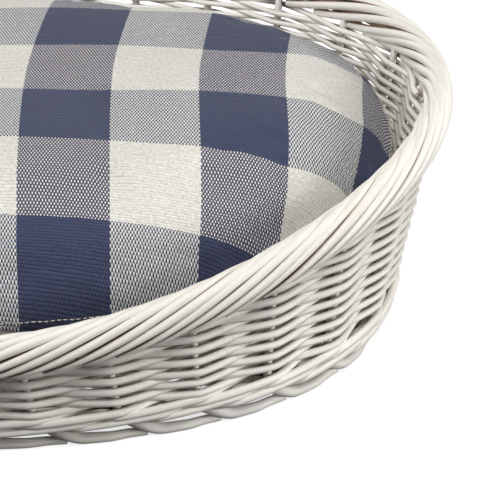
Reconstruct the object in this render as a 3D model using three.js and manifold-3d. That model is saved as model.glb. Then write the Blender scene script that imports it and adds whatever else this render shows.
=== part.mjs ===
// Wicker pet bed basket: an oval willow basket with a rim dipped at the front, and a loose cushion.
// Millimetres, +Z up, origin on the ground under the basket's centre, front (the dip) towards -Y.
import * as THREE from 'three';
import { ParametricGeometry } from 'three/addons/geometries/ParametricGeometry.js';
import { mergeVertices } from 'three/addons/utils/BufferGeometryUtils.js';
import Module from 'manifold-3d';

const wasm = await Module();
wasm.setup();

// Driving dimensions. An outline is an oval with half length a, half width b and squareness n.
const FOOT = { a: 297.5, b: 205, n: 2.4 };
const RIM = { a: 330, b: 226.5, n: 2 };
const SIDE_HEIGHT = 164;
const DIP_HEIGHT = 88;
const DIP_SPREAD = THREE.MathUtils.degToRad(52);
const GAP = 0.3;
const RING_STEPS = 56;
const ARC_STEPS = 7;

const BORDER_HALF_WIDTH = 10.5;
const BORDER_HALF_HEIGHT = 15.9;
const BORDER_SIDES = 8;
const FOOT_HEIGHT = 10;
const FOOT_WIDTH = 14;
const FOOT_EDGE = 2.5;

// The stakes run up the middle of the wall, from this far inside the foot outline to this far
// inside the border's centre line.
const WALL_INSET_LOW = 5;
const WALL_INSET_HIGH = 6;
const UPSETT_HALF_WIDTH = 8.5;
const UPSETT_TOP = 28;
const WEAVE_HALF_WIDTH = 7.5;
const WEAVE_BELOW_BORDER = 0.8;

const STAKE_COUNT = 30;
const WEAVE_SECTIONS = [4, 4, 3, 4, 4, 4, 3, 4];
const STAKE_START = 0.29;
const STAKE_RADIUS = 2.5;
const STAKE_SIDES = 6;
const STAKE_IN_BASE = 20;
const STAKE_BEND = 9;
const STAKE_TOP_COVER = 5;

const BASE_LOW = 10.3;
const BASE_TOP = 22.3;
const STICK_LEVEL = (BASE_LOW + BASE_TOP) / 2;
const STICK_END = 26;
const STICK_SIDES = 8;
const LONG_STICK_RADIUS = 2.2;
const SHORT_STICK_RADIUS = 4.2;
const LONG_STICK_Y = [-66, -22, 22, 66];
const SHORT_STICK_X = [-180, -120, -60, 0, 60, 120, 180];

const CUSHION = { a: 298, b: 191, n: 2.3 };
const CUSHION_STEPS = 36;
const CUSHION_LOW = BASE_TOP + GAP;
const CUSHION_SEAM = 86;
const CUSHION_TOP = 177;
const END_LIFT = 38;
const END_LIFT_AT = 0.12;
const END_LIFT_SPREAD = 0.5;
const COVER_THICKNESS = 3;
const PAD_GAP = 1;

const ZIP_LENGTH = 300;
const ZIP_Y = 95;
const ZIP_SLOT_WIDTH = 14;
const TAPE_WIDTH = 26;
const TAPE_THICKNESS = 1.2;
const TAPE_END = 8;
const SLIDER_LENGTH = 12;
const SLIDER_WIDTH = 9;
const SLIDER_HEIGHT = 2.3;
const PULL_LENGTH = 20;
const PULL_WIDTH = 5;
const PULL_THICKNESS = 1.4;

const group = new THREE.Group();
group.name = 'wicker_pet_bed_basket';

const willow = { color: 0xcdc8be, roughness: 0.62, metalness: 0 };
const check = { color: 0x7c7f92, roughness: 0.9, metalness: 0 };
const canvas = { color: 0xe2dcd0, roughness: 0.9, metalness: 0 };
const filling = { color: 0xf2f1ec, roughness: 1, metalness: 0 };
const metal = { color: 0xb9b4a6, roughness: 0.35, metalness: 0.9 };

// A closed solid from a three.js geometry: shared corners merged, empty triangles dropped.
function solid(geometry) {
  geometry.deleteAttribute('normal');
  geometry.deleteAttribute('uv');
  const merged = mergeVertices(geometry, 1e-4);
  const corners = merged.index.array;
  const kept = [];
  for (let i = 0; i < corners.length; i += 3) {
    const [p, q, r] = [corners[i], corners[i + 1], corners[i + 2]];
    if (p !== q && q !== r && r !== p) kept.push(p, q, r);
  }
  const vertProperties = merged.attributes.position.array;
  const triVerts = new Uint32Array(kept);
  return new wasm.Manifold(new wasm.Mesh({ numProp: 3, vertProperties, triVerts }));
}

function add(name, shape, look) {
  const mesh = shape.getMesh();
  const geometry = new THREE.BufferGeometry();
  geometry.setAttribute('position', new THREE.BufferAttribute(mesh.vertProperties, 3));
  geometry.setIndex(new THREE.BufferAttribute(mesh.triVerts, 1));
  geometry.computeVertexNormals();
  const part = new THREE.Mesh(geometry, new THREE.MeshStandardMaterial(look));
  part.name = name;
  group.add(part);
}

// A point on an oval outline at angle t, moved in towards the centre by inset.
function oval(outline, t, inset = 0) {
  const power = 2 / outline.n;
  const c = Math.cos(t);
  const s = Math.sin(t);
  const x = (outline.a - inset) * Math.sign(c) * Math.abs(c) ** power;
  const y = (outline.b - inset) * Math.sign(s) * Math.abs(s) ** power;
  return new THREE.Vector2(x, y);
}

// Height of the border's centre line: level all round, with a smooth dip centred on the front.
function rimHeight(t) {
  const fromFront = Math.atan2(-Math.cos(t), -Math.sin(t));
  return SIDE_HEIGHT - (SIDE_HEIGHT - DIP_HEIGHT) * Math.exp(-((fromFront / DIP_SPREAD) ** 2));
}

// A point of the wall at angle t and height z, moved out from the stake line by outward.
function wallPoint(t, z, outward = 0) {
  const low = oval(FOOT, t, WALL_INSET_LOW - outward);
  const high = oval(RIM, t, WALL_INSET_HIGH - outward);
  const p = low.lerp(high, z / rimHeight(t));
  return new THREE.Vector3(p.x, p.y, z);
}

// A closed ring: corner(t, k) gives corner k of its section at angle t, for count corners.
function ring(count, corner) {
  const place = (u, v, target) => {
    const k = Math.round(u * count) % count;
    const step = Math.round(v * RING_STEPS) % RING_STEPS;
    target.copy(corner((2 * Math.PI * step) / RING_STEPS, k));
  };
  return solid(new ParametricGeometry(place, count, RING_STEPS));
}

// A stretch of ring from angle start to angle end, closed across its two ends.
function arc(count, start, end, corner) {
  const last = ARC_STEPS + 2;
  const place = (u, v, target) => {
    const k = Math.round(u * count) % count;
    const step = Math.round(v * last);
    const inside = THREE.MathUtils.clamp(step - 1, 0, ARC_STEPS);
    const t = THREE.MathUtils.lerp(start, end, inside / ARC_STEPS);
    target.copy(corner(t, k));
    if (step === inside + 1) return;
    target.set(0, 0, 0);
    for (let each = 0; each < count; each += 1) target.add(corner(t, each));
    target.divideScalar(count);
  };
  return solid(new ParametricGeometry(place, count, last));
}

// A straight-sided rod through points, with a closed end cap at each end.
function rod(points, radius, sides) {
  const stops = [points[0], ...points, points[points.length - 1]];
  const last = stops.length - 1;
  const plane = new THREE.Vector3().subVectors(points[1], points[0]);
  const across = new THREE.Vector3().subVectors(points[points.length - 1], points[0]).cross(plane);
  if (across.length() < 1) across.set(-plane.y, plane.x, 0);
  across.normalize();
  const place = (u, v, target) => {
    const i = Math.round(u * last);
    const before = points[Math.max(0, i - 2)];
    const after = points[Math.min(points.length - 1, i)];
    const along = new THREE.Vector3().subVectors(after, before).normalize();
    const upward = new THREE.Vector3().crossVectors(across, along).normalize();
    const angle = (2 * Math.PI * (Math.round(v * sides) % sides)) / sides;
    const r = i === 0 || i === last ? 0 : radius;
    target.copy(stops[i]);
    target.addScaledVector(across, r * Math.cos(angle));
    target.addScaledVector(upward, r * Math.sin(angle));
  };
  return solid(new ParametricGeometry(place, last, sides));
}

// How far the cushion's seam rides up near both ends of the long axis, where it presses on the wall.
function endLift(p) {
  const fromEnd = Math.atan2(p.y, Math.abs(p.x)) - END_LIFT_AT;
  return END_LIFT * Math.exp(-((fromEnd / END_LIFT_SPREAD) ** 2));
}

// A round solid turned about Z from [radius fraction, z, inset, share of the end lift] points,
// stretched to an outline.
function ovalTurned(profile, outline, steps) {
  const turned = new THREE.LatheGeometry(profile.map(([r, z]) => new THREE.Vector2(r, z)), steps);
  turned.rotateX(Math.PI / 2);
  const place = turned.attributes.position;
  for (let i = 0; i < place.count; i += 1) {
    const [, , inset = 0, lifted = 0] = profile[i % profile.length];
    const fraction = Math.hypot(place.getX(i), place.getY(i));
    const p = oval(outline, Math.atan2(place.getY(i), place.getX(i)), inset).multiplyScalar(fraction);
    place.setXYZ(i, p.x, p.y, place.getZ(i) + lifted * endLift(p));
  }
  return solid(turned);
}

function block(x0, x1, y0, y1, z0, z1) {
  const box = new THREE.BoxGeometry(x1 - x0, y1 - y0, z1 - z0);
  return solid(box.translate((x0 + x1) / 2, (y0 + y1) / 2, (z0 + z1) / 2));
}

// Half the length of an outline along one axis, at a given place on the other axis.
function reach(along, across, n, place) {
  return along * (1 - (Math.abs(place) / across) ** n) ** (1 / n);
}

// Side stakes: pushed into the base, bent up and run through the wall into the border.
const midWall = new THREE.Curve();
midWall.arcLengthDivisions = 1000;
midWall.getPoint = (u) => {
  const t = Math.PI * (2 * u - 1);
  const p = oval(FOOT, t, WALL_INSET_LOW).lerp(oval(RIM, t, WALL_INSET_HIGH), 0.5);
  return new THREE.Vector3(p.x, p.y, 0);
};

function stakeAngle(index) {
  const turns = (index + STAKE_START) / STAKE_COUNT;
  const whole = Math.floor(turns);
  return Math.PI * (2 * (whole + midWall.getUtoTmapping(turns - whole)) - 1);
}

function stakePoints(t, spare) {
  const corner = wallPoint(t, STICK_LEVEL);
  const up = wallPoint(t, STICK_LEVEL + 1).sub(corner).normalize();
  const inward = new THREE.Vector3(-corner.x / FOOT.a ** 2, -corner.y / FOOT.b ** 2, 0).normalize();
  return [
    corner.clone().addScaledVector(inward, STAKE_IN_BASE + UPSETT_HALF_WIDTH + spare),
    corner.clone().addScaledVector(inward, STAKE_BEND),
    corner.clone().addScaledVector(up, STAKE_BEND),
    wallPoint(t, rimHeight(t) - STAKE_TOP_COVER + spare),
  ];
}

const stakes = [];
const channels = [];
for (let i = 0; i < STAKE_COUNT; i += 1) {
  const t = stakeAngle(i);
  stakes.push(rod(stakePoints(t, 0), STAKE_RADIUS, STAKE_SIDES));
  channels.push(rod(stakePoints(t, GAP), STAKE_RADIUS + GAP * 1.2, STAKE_SIDES));
}
const stakeChannels = wasm.Manifold.union(channels);

// Foot border: a low ring with a flat underside, which the basket stands on.
const footSection = [
  [FOOT_WIDTH - FOOT_EDGE, 0],
  [FOOT_WIDTH, FOOT_EDGE],
  [FOOT_WIDTH, FOOT_HEIGHT - FOOT_EDGE],
  [FOOT_WIDTH - FOOT_EDGE, FOOT_HEIGHT],
  [FOOT_EDGE, FOOT_HEIGHT],
  [0, FOOT_HEIGHT - FOOT_EDGE],
  [0, FOOT_EDGE],
  [FOOT_EDGE, 0],
];
const footBorder = ring(footSection.length, (t, k) => {
  const p = oval(FOOT, t, footSection[k][0]);
  return new THREE.Vector3(p.x, p.y, footSection[k][1]);
});
add('foot_border', footBorder, willow);

// Woven base: an oval plate with channels for its sticks and for the stakes' lower ends.
const BASE_INSET = WALL_INSET_LOW + UPSETT_HALF_WIDTH + GAP;
const basePlan = { a: FOOT.a - BASE_INSET, b: FOOT.b - BASE_INSET, n: FOOT.n };
const longSticks = LONG_STICK_Y.map((y) => {
  const half = reach(basePlan.a, basePlan.b, basePlan.n, y);
  const place = (x) => new THREE.Vector3(x, y, STICK_LEVEL);
  const end = half - STICK_END;
  const stick = rod([place(-end), place(end)], LONG_STICK_RADIUS, STICK_SIDES);
  const open = rod([place(-half - 1), place(half + 1)], LONG_STICK_RADIUS + GAP, STICK_SIDES);
  return { stick, open };
});
const shortSticks = SHORT_STICK_X.map((x) => {
  const half = reach(basePlan.b, basePlan.a, basePlan.n, x);
  const place = (y) => new THREE.Vector3(x, y, STICK_LEVEL);
  const end = half - STICK_END;
  const stick = rod([place(-end), place(end)], SHORT_STICK_RADIUS, STICK_SIDES);
  const open = rod([place(-half - 1), place(half + 1)], SHORT_STICK_RADIUS + GAP, STICK_SIDES);
  return { stick, open };
});
const longChannels = wasm.Manifold.union(longSticks.map((s) => s.open));
const shortChannels = wasm.Manifold.union(shortSticks.map((s) => s.open));
const plateProfile = [[0, BASE_LOW], [1, BASE_LOW], [1, BASE_TOP], [0, BASE_TOP]];
const plate = ovalTurned(plateProfile, basePlan, RING_STEPS);
add('base_weave', plate.subtract(longChannels).subtract(shortChannels).subtract(stakeChannels), willow);
longSticks.forEach(({ stick }, i) => add(`base_long_stick_${i + 1}`, stick, willow));
shortSticks.forEach(({ stick }, i) => {
  add(`base_short_stick_${i + 1}`, stick.subtract(longChannels), willow);
});

stakes.forEach((stake, i) => add(`side_stake_${String(i + 1).padStart(2, '0')}`, stake, willow));

// Wall: heavier upsett rows at the bottom, then the side weave up to the underside of the border,
// in sections that meet midway between stakes.
const upsett = ring(4, (t, k) => {
  const z = k === 0 || k === 3 ? FOOT_HEIGHT + GAP : UPSETT_TOP;
  return wallPoint(t, z, k < 2 ? -UPSETT_HALF_WIDTH : UPSETT_HALF_WIDTH);
});
add('upsett_rows', upsett.subtract(stakeChannels), willow);

const cuts = [0];
WEAVE_SECTIONS.forEach((count, i) => cuts.push(cuts[i] + count));
WEAVE_SECTIONS.forEach((count, i) => {
  const start = stakeAngle(cuts[i] - 0.5) + GAP / FOOT.b;
  const end = stakeAngle(cuts[i + 1] - 0.5) - GAP / FOOT.b;
  const section = arc(4, start, end, (t, k) => {
    const top = rimHeight(t) - BORDER_HALF_HEIGHT - WEAVE_BELOW_BORDER;
    const z = k === 0 || k === 3 ? UPSETT_TOP + GAP : top;
    return wallPoint(t, z, k < 2 ? -WEAVE_HALF_WIDTH : WEAVE_HALF_WIDTH);
  });
  add(`side_weave_${i + 1}`, section.subtract(stakeChannels), willow);
});

// Rolled border: a fat oval roll along the rim, closed over the stakes' upper ends.
const rolledBorder = ring(BORDER_SIDES, (t, k) => {
  const angle = (2 * Math.PI * (k + 0.5)) / BORDER_SIDES;
  const grow = 1 / Math.cos(Math.PI / BORDER_SIDES);
  const p = oval(RIM, t, BORDER_HALF_WIDTH * grow * Math.cos(angle));
  return new THREE.Vector3(p.x, p.y, rimHeight(t) + BORDER_HALF_HEIGHT * grow * Math.sin(angle));
});
add('rolled_border', rolledBorder.subtract(stakeChannels), willow);

// Cushion: a filled pad inside a checked top cover and a canvas base cover, which meet at a seam.
const CROWN_STEPS = 7;
const CROWN_SIDE_POWER = 2 / 3.9;
const CROWN_TOP_POWER = 2 / 4.8;
const BOTTOM_STEPS = 4;
const BOTTOM_FLAT = 0.84;

// Crown from the seam up to the middle, as a squared quarter oval, shrunk inwards by inset.
function crownProfile(inset, seam) {
  const points = [];
  for (let i = 0; i <= CROWN_STEPS; i += 1) {
    const angle = (Math.PI / 2) * (i / CROWN_STEPS);
    const radius = i === CROWN_STEPS ? 0 : Math.cos(angle) ** CROWN_SIDE_POWER;
    const share = Math.sin(angle) ** CROWN_TOP_POWER;
    const rise = (CUSHION_TOP - inset - CUSHION_SEAM) * share;
    points.push([radius, i === 0 ? seam : CUSHION_SEAM + rise, inset, 1 - share]);
  }
  return points;
}

// Underside from the flat bottom's middle out and up to the seam, shrunk inwards by inset.
function bottomProfile(inset, seam) {
  const points = [[0, CUSHION_LOW + inset, inset]];
  for (let i = 0; i <= BOTTOM_STEPS; i += 1) {
    const angle = (Math.PI / 2) * (i / BOTTOM_STEPS);
    const radius = BOTTOM_FLAT + (1 - BOTTOM_FLAT) * Math.sin(angle);
    const low = CUSHION_LOW + inset;
    const share = 1 - Math.cos(angle);
    points.push([radius, i === BOTTOM_STEPS ? seam : low + (CUSHION_SEAM - low) * share, inset, share]);
  }
  return points;
}

const padInset = COVER_THICKNESS + PAD_GAP;
const padProfile = [...bottomProfile(padInset, CUSHION_SEAM), ...crownProfile(padInset, CUSHION_SEAM).slice(1)];
const tapeLow = CUSHION_LOW + COVER_THICKNESS + GAP;
const tapeTop = tapeLow + TAPE_THICKNESS;
const tapeHalf = ZIP_LENGTH / 2 + TAPE_END;
const tapeRecess = block(
  -tapeHalf - GAP,
  tapeHalf + GAP,
  ZIP_Y - TAPE_WIDTH / 2 - GAP,
  ZIP_Y + TAPE_WIDTH / 2 + GAP,
  CUSHION_LOW,
  tapeTop + GAP,
);
const pad = ovalTurned(padProfile, CUSHION, CUSHION_STEPS);
add('cushion_pad', pad.subtract(tapeRecess), filling);

const topSeam = CUSHION_SEAM + GAP;
const topOuter = crownProfile(0, topSeam);
const topInner = crownProfile(COVER_THICKNESS, topSeam).reverse();
add('cushion_top_cover', ovalTurned([...topInner, ...topOuter], CUSHION, CUSHION_STEPS), check);

const baseOuter = bottomProfile(0, CUSHION_SEAM);
const baseInner = bottomProfile(COVER_THICKNESS, CUSHION_SEAM).reverse();
const baseCover = ovalTurned([...baseOuter, ...baseInner], CUSHION, CUSHION_STEPS);
const zipSlot = block(
  -ZIP_LENGTH / 2,
  ZIP_LENGTH / 2,
  ZIP_Y - ZIP_SLOT_WIDTH / 2,
  ZIP_Y + ZIP_SLOT_WIDTH / 2,
  CUSHION_LOW - 1,
  tapeLow,
);
add('cushion_base_cover', baseCover.subtract(zipSlot), canvas);

// Zip in the underside: a tape closing the slot, with a slider and its pull hanging below it.
const tape = block(
  -tapeHalf,
  tapeHalf,
  ZIP_Y - TAPE_WIDTH / 2,
  ZIP_Y + TAPE_WIDTH / 2,
  tapeLow,
  tapeTop,
);
add('zip_tape', tape, canvas);

const sliderX = -ZIP_LENGTH / 2 + PULL_LENGTH + 2;
const sliderShape = new THREE.Shape();
sliderShape.moveTo(0, -SLIDER_WIDTH / 3);
sliderShape.lineTo(SLIDER_LENGTH * 0.6, -SLIDER_WIDTH / 2);
sliderShape.lineTo(SLIDER_LENGTH, -SLIDER_WIDTH / 3);
sliderShape.lineTo(SLIDER_LENGTH, SLIDER_WIDTH / 3);
sliderShape.lineTo(SLIDER_LENGTH * 0.6, SLIDER_WIDTH / 2);
sliderShape.lineTo(0, SLIDER_WIDTH / 3);
sliderShape.closePath();
const slider = new THREE.ExtrudeGeometry(sliderShape, { depth: SLIDER_HEIGHT, bevelEnabled: false });
slider.translate(sliderX, ZIP_Y, tapeLow - GAP - SLIDER_HEIGHT);
add('zip_slider', solid(slider), metal);

const pullShape = new THREE.Shape();
pullShape.absarc(-PULL_WIDTH / 2, 0, PULL_WIDTH / 2, -Math.PI / 2, Math.PI / 2, false);
pullShape.absarc(PULL_WIDTH / 2 - PULL_LENGTH, 0, PULL_WIDTH / 2, Math.PI / 2, (3 * Math.PI) / 2, false);
pullShape.closePath();
const pullHole = new THREE.Path();
pullHole.absarc(PULL_WIDTH / 2 - PULL_LENGTH, 0, PULL_WIDTH / 4, 0, 2 * Math.PI, true);
pullShape.holes.push(pullHole);
const pull = new THREE.ExtrudeGeometry(pullShape, {
  depth: PULL_THICKNESS,
  bevelEnabled: false,
  curveSegments: 6,
});
pull.translate(sliderX - GAP, ZIP_Y, tapeLow - GAP - SLIDER_HEIGHT);
add('zip_pull', solid(pull), metal);

export default group;
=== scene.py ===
import math

import bmesh
import bpy
import numpy as np
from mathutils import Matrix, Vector


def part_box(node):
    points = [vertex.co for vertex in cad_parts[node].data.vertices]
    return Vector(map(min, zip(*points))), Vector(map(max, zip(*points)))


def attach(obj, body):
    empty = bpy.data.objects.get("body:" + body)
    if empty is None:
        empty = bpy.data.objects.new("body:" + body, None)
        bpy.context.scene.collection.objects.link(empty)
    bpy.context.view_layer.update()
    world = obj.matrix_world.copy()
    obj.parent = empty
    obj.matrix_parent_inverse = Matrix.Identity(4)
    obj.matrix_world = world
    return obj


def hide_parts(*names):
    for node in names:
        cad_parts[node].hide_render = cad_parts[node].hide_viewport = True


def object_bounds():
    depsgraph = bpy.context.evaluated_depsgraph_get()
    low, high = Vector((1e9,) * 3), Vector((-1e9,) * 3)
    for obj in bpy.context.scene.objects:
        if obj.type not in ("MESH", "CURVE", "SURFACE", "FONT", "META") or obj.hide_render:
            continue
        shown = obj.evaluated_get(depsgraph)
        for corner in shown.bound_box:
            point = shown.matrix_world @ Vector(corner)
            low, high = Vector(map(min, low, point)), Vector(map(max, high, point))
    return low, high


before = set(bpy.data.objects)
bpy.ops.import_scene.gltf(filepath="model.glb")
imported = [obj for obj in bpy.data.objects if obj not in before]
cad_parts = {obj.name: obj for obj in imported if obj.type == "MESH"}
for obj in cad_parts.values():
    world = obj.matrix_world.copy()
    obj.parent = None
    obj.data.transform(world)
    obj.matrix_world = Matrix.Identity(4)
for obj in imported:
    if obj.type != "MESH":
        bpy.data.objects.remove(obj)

cad_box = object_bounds()

# Millimetres are used for shapes, and metres for Blender.
MM = 0.001
SEED = 41
rng = np.random.default_rng(SEED)


def span(node):
    """Lowest and highest corner of a CAD node, in millimetres."""
    low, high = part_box(node)
    return np.array(low) / MM, np.array(high) / MM


def named(start):
    """The CAD nodes whose names begin like this."""
    return sorted(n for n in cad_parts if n.startswith(start))


# ---------------------------------------------------------------- sizes from the frame
# An oval is its two half widths and the power of its curve: 2 is an ellipse, more is squarer.
BORDER_HALF_WIDTH = 10.5
BORDER_HALF_HEIGHT = 15.9
RIM_POWER = 2.0
FOOT_POWER = 2.4
border_low, border_high = span("rolled_border")
foot_high = span("foot_border")[1]
upsett_low, upsett_high = span("upsett_rows")
base_low, base_high = span("base_weave")
cover_low, cover_high = span("cushion_top_cover")
under_low, under_high = span("cushion_base_cover")
tape_low, tape_high = span("zip_tape")

RIM = (border_high[0] - BORDER_HALF_WIDTH, border_high[1] - BORDER_HALF_WIDTH, RIM_POWER)
FOOT = (foot_high[0], foot_high[1], FOOT_POWER)
SIDE_HEIGHT = border_high[2] - BORDER_HALF_HEIGHT
DIP_HEIGHT = border_low[2] + BORDER_HALF_HEIGHT
DIP_SPREAD = math.radians(52)
WALL_INSET_LOW = 5.0
WALL_INSET_HIGH = 6.0
STAKE_COUNT = len(named("side_stake_"))
STICK_LEVEL = (base_low[2] + base_high[2]) / 2
# Places round the basket are counted in stakes: the first one's own place, and the front's.
STAKE_START = 0.29
FRONT = 7.21
RING_STEPS = 6001


def oval(outline, t, inset=0.0):
    """Points (x, y) on an oval at angles t."""
    a, b, n = outline
    c, s = np.cos(t), np.sin(t)
    x = (a - inset) * np.sign(c) * np.abs(c) ** (2 / n)
    y = (b - inset) * np.sign(s) * np.abs(s) ** (2 / n)
    return np.stack([x, y], -1)


def rim_height(t):
    """Height of the border's middle, which dips at the front."""
    from_front = np.arctan2(-np.cos(t), -np.sin(t))
    return SIDE_HEIGHT - (SIDE_HEIGHT - DIP_HEIGHT) * np.exp(-((from_front / DIP_SPREAD) ** 2))


def wall_point(t, z, outward=0.0):
    """Points on the slanted wall at angles t and heights z."""
    share = (z / rim_height(t))[..., None]
    low = oval(FOOT, t, WALL_INSET_LOW - outward)
    high = oval(RIM, t, WALL_INSET_HIGH - outward)
    return np.column_stack([low * (1 - share) + high * share, z])


ring_t = np.linspace(-math.pi, math.pi, RING_STEPS)
ring_mid = (oval(FOOT, ring_t, WALL_INSET_LOW) + oval(RIM, ring_t, WALL_INSET_HIGH)) / 2
ring_steps = np.hypot(*np.diff(ring_mid, axis=0).T)
ring_share = np.concatenate([[0], np.cumsum(ring_steps)]) / ring_steps.sum()
SPACING = ring_steps.sum() / STAKE_COUNT


def angle_at(q):
    """Angle round the basket at place q, where whole numbers are the stakes."""
    return np.interp(((q + STAKE_START) / STAKE_COUNT) % 1, ring_share, ring_t)


def outward_at(t):
    """Level directions that point out of the rim."""
    p = oval(RIM, t) / (np.array(RIM[:2]) ** 2)
    p /= np.linalg.norm(p, axis=1)[:, None]
    return np.column_stack([p, np.zeros(len(p))])


def smooth(low, high, value):
    """Rises from 0 at low to 1 at high."""
    x = np.clip((value - low) / (high - low), 0, 1)
    return x * x * (3 - 2 * x)


def wander(q, size, spacing=1.0):
    """A smooth random offset along q, which closes round the basket."""
    knots = int(round(STAKE_COUNT / spacing))
    values = rng.normal(0, size, knots)
    place = (q / spacing) % knots
    i = np.floor(place).astype(int) % knots
    share = smooth(0, 1, place - np.floor(place))
    return values[i] * (1 - share) + values[(i + 1) % knots] * share


# ---------------------------------------------------------------- rods
# Rings that close a rod's end: share of the radius, advance in radii, and brown in the material.
ROUND_END = [(0.92, 0.35, 0.2), (0.68, 0.72, 0.35), (0.3, 0.95, 0.5)]
CUT_END = [(0.99, 0.02, 0.0), (0.86, 0.16, 0.9), (0.45, 0.18, 0.75)]
# How far round a rod its sides turn brown, and how far the side that a weaving rod turns to its stake is
# darkened as painted shade for the slits between rows.
VALLEY_FROM = 0.2
VALLEY_FULL = 0.95
WEAVE_SHADE = 0.95
WEAVE_SHADE_FROM = 0.2
WEAVE_SHADE_FULL = 0.85
GRAIN_RADIUS = 3.0
GRAIN_SHIFT = 5.0


class Piece:
    """Gathers rods into one mesh, with coordinates along each rod for its material."""

    def __init__(self):
        self.points, self.quads, self.caps = [], [], []
        self.grain, self.tone, self.depth, self.painted_weave_shade = [], [], [], []
        self.count = 0

    def rod(self, path, radius, facing, sides=8, start=ROUND_END, end=ROUND_END,
             valley=0.0, buried=0.0, flat=1.0, slant=0.0, weave=None):
        """Adds one rod. facing points away from its neighbours below, and weave is its swing in and out,
        which sets where its side turned to a stake gets painted shade.
        """
        path = np.asarray(path, float)
        n = len(path)
        radius = np.broadcast_to(np.asarray(radius, float), (n,)).copy()
        buried = np.broadcast_to(np.asarray(buried, float), (n,))
        facing = np.broadcast_to(np.asarray(facing, float), (n, 3))
        along = np.gradient(path, axis=0)
        along /= np.linalg.norm(along, axis=1)[:, None]
        out = facing - (facing * along).sum(1)[:, None] * along
        out /= np.linalg.norm(out, axis=1)[:, None]
        side = np.cross(along, out)
        length = np.concatenate([[0], np.cumsum(np.linalg.norm(np.diff(path, axis=0), axis=1))])
        rings = [(0, -advance, scale, dark) for scale, advance, dark in reversed(start)]
        rings += [(i, 0.0, 1.0, 0.0) for i in range(n)]
        rings += [(n - 1, advance, scale, dark) for scale, advance, dark in end]
        index = np.array([r[0] for r in rings])
        advance = np.array([r[1] for r in rings]) * radius[index]
        scale = np.array([r[2] for r in rings])
        dark = np.array([r[3] for r in rings])
        angle = 2 * math.pi * np.arange(sides) / sides
        direction = (np.cos(angle)[None, :, None] * out[index][:, None]
                     + np.sin(angle)[None, :, None] * side[index][:, None])
        shape = (np.cos(angle)[None, :, None] * out[index][:, None]
                 + flat * np.sin(angle)[None, :, None] * side[index][:, None])
        r = (radius[index] * scale)[:, None, None]
        points = path[index][:, None] + along[index][:, None] * advance[:, None, None] + shape * r
        if slant:
            tail = len(rings) - 1 - np.arange(len(end))
            points[tail] += (along[index[tail]][:, None] * slant * radius[-1]
                             * (np.cos(angle) * scale[tail][:, None])[:, :, None])
        faces_out = (direction * facing[index][:, None]).sum(2)
        turned = smooth(VALLEY_FROM, VALLEY_FULL, 1 - faces_out)
        depth = np.clip(valley * turned + buried[index][:, None], 0, 1)
        depth = np.maximum(depth, dark[:, None])
        painted_weave_shade = np.zeros_like(depth)
        # Painted shade: the side of a weaving rod that is turned to its stake is marked for darkening,
        # standing in for the shadow in the slits.
        if weave is not None:
            swing = np.asarray(weave, float)[index][:, None]
            painted_weave_shade = WEAVE_SHADE * smooth(WEAVE_SHADE_FROM, WEAVE_SHADE_FULL, -faces_out * swing)
        shift = rng.uniform(0, GRAIN_SHIFT, 3)
        u = length[index] + advance
        grain = np.stack([
            np.broadcast_to(u[:, None], faces_out.shape) * MM + shift[0],
            np.broadcast_to(np.cos(angle), faces_out.shape) * GRAIN_RADIUS * MM + shift[1],
            np.broadcast_to(np.sin(angle), faces_out.shape) * GRAIN_RADIUS * MM + shift[2],
        ], -1)
        m = len(rings)
        i, k = np.meshgrid(np.arange(m - 1), np.arange(sides), indexing="ij")
        a = self.count + i * sides + k
        b = self.count + i * sides + (k + 1) % sides
        quads = np.stack([a, b, b + sides, a + sides], -1).reshape(-1, 4)
        self.quads.append(quads)
        first = self.count + np.arange(sides)
        self.caps += [first[::-1], first + (m - 1) * sides]
        self.points.append(points.reshape(-1, 3))
        self.grain.append(grain.reshape(-1, 3))
        self.tone.append(np.full(m * sides, rng.uniform(0, 1)))
        self.depth.append(depth.reshape(-1))
        self.painted_weave_shade.append(painted_weave_shade.reshape(-1))
        self.count += m * sides

    def build(self, name, material, body, slot, replaced):
        """Makes the gathered rods one visible piece."""
        mesh = bpy.data.meshes.new(name)
        points = np.concatenate(self.points) * MM
        quads = np.concatenate(self.quads)
        corners = np.concatenate([quads.ravel(), *self.caps])
        totals = np.concatenate([np.full(len(quads), 4), [len(c) for c in self.caps]])
        mesh.vertices.add(len(points))
        mesh.vertices.foreach_set("co", points.astype(np.float32).ravel())
        mesh.loops.add(len(corners))
        mesh.loops.foreach_set("vertex_index", corners.astype(np.int32))
        mesh.polygons.add(len(totals))
        starts = np.concatenate([[0], np.cumsum(totals)[:-1]])
        mesh.polygons.foreach_set("loop_start", starts.astype(np.int32))
        mesh.update(calc_edges=True)
        mesh.validate()
        mesh.polygons.foreach_set("use_smooth", np.ones(len(totals), bool))
        store(mesh, "grain", "FLOAT_VECTOR", np.concatenate(self.grain))
        store(mesh, "tone", "FLOAT", np.concatenate(self.tone))
        store(mesh, "depth", "FLOAT", np.concatenate(self.depth))
        store(mesh, "painted_weave_shade", "FLOAT", np.concatenate(self.painted_weave_shade))
        return place(name, mesh, material, body, slot, replaced)


def store(mesh, name, kind, values):
    """Keeps one value per point on the mesh, for its material."""
    attribute = mesh.attributes.new(name, kind, "POINT")
    field = "vector" if kind == "FLOAT_VECTOR" else "value"
    attribute.data.foreach_set(field, np.asarray(values, np.float32).ravel())


def added(name, data):
    """A new object in the scene."""
    item = bpy.data.objects.new(name, data)
    bpy.context.scene.collection.objects.link(item)
    return item


def place(name, mesh, material, body, slot, replaced=()):
    """Adds a visible piece that rides on a body and stands for CAD nodes."""
    piece = added(name, mesh)
    mesh.materials.clear()
    mesh.materials.append(material)
    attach(piece, body)
    if replaced:
        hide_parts(*replaced)
    return piece


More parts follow.
